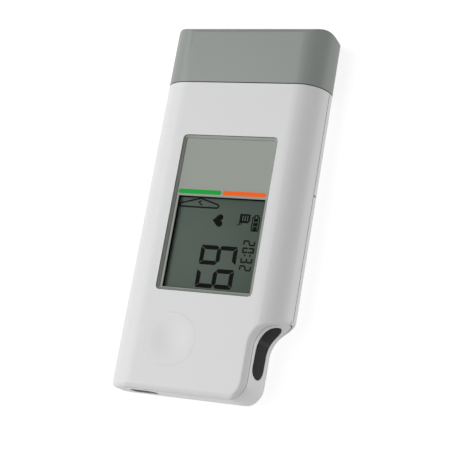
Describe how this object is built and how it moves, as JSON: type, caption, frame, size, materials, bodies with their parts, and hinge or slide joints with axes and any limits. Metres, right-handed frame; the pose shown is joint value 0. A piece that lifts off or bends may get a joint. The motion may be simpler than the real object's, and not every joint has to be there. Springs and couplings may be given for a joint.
{
  "type": "ecg home monitor",
  "caption": "Pocket one-lead ECG monitor with a pull-off cap, a finger notch with an electrode, a display, a dished start button and a coin-cell bay with a tipping door.",
  "frame": {"origin": "middle of the monitor's footprint, on the surface it lies on", "axes": "+X to the viewer's right, on the finger notch's side, +Y along the monitor from the port end to the cap, +Z out of the display"},
  "size_m": [0.046, 0.0984, 0.0116],
  "materials": {
    "white_plastic": "satin moulded",
    "band_plastic": "satin moulded",
    "grey_plastic": "satin moulded",
    "dark_conductive_rubber": "matte",
    "steel": "brushed",
    "gilt_contact": "satin",
    "clear_window": "polished",
    "mask_ink": "printed film",
    "lcd_glass": "polished",
    "black_plastic": "matte",
    "board_green": "solder mask",
    "connector_rubber": "striped"
  },
  "bodies": {
    "housing": {"amplifier_chip": "black_plastic", "chest_electrode": "steel", "chest_lead": "gilt_contact", "coin_cell_1": "steel", "coin_cell_2": "steel", "data_port": "steel", "display_bezel": "grey_plastic", "display_mask": "mask_ink", "display_window": "clear_window", "end_band": "band_plastic", "finger_electrode": "dark_conductive_rubber", "finger_lead": "gilt_contact", "front_shell": "white_plastic", "housing_screw_lower_left": "steel", "housing_screw_lower_right": "steel", "housing_screw_upper_left": "steel", "housing_screw_upper_right": "steel", "lcd_connector": "connector_rubber", "lcd_glass": "lcd_glass", "lcd_holder": "black_plastic", "main_board": "board_green", "minus_contact_1": "gilt_contact", "minus_contact_2": "gilt_contact", "plus_contact_1": "gilt_contact", "plus_contact_2": "gilt_contact", "processor_chip": "black_plastic", "radio_module": "steel", "rear_shell": "white_plastic", "switch_body": "black_plastic"},
    "cap": {"protective_cap": "grey_plastic"},
    "start_key": {"start_button": "white_plastic", "switch_plunger": "black_plastic"},
    "door": {"battery_door": "white_plastic"}
  },
  "joints": [
    {"name": "cap_slide", "type": "slide", "parent": "housing", "child": "cap", "axis": [0, 1, 0], "range_m": [0, 0.03]},
    {"name": "button_press", "type": "slide", "parent": "housing", "child": "start_key", "axis": [0, 0, -1], "range_m": [0, 0.0005], "stiffness_N_per_m": 3000},
    {"name": "door_tip", "type": "hinge", "parent": "housing", "child": "door", "pos_m": [0, 0.00525, 0], "axis": [1, 0, 0], "range_deg": [0, 25]}
  ]
}
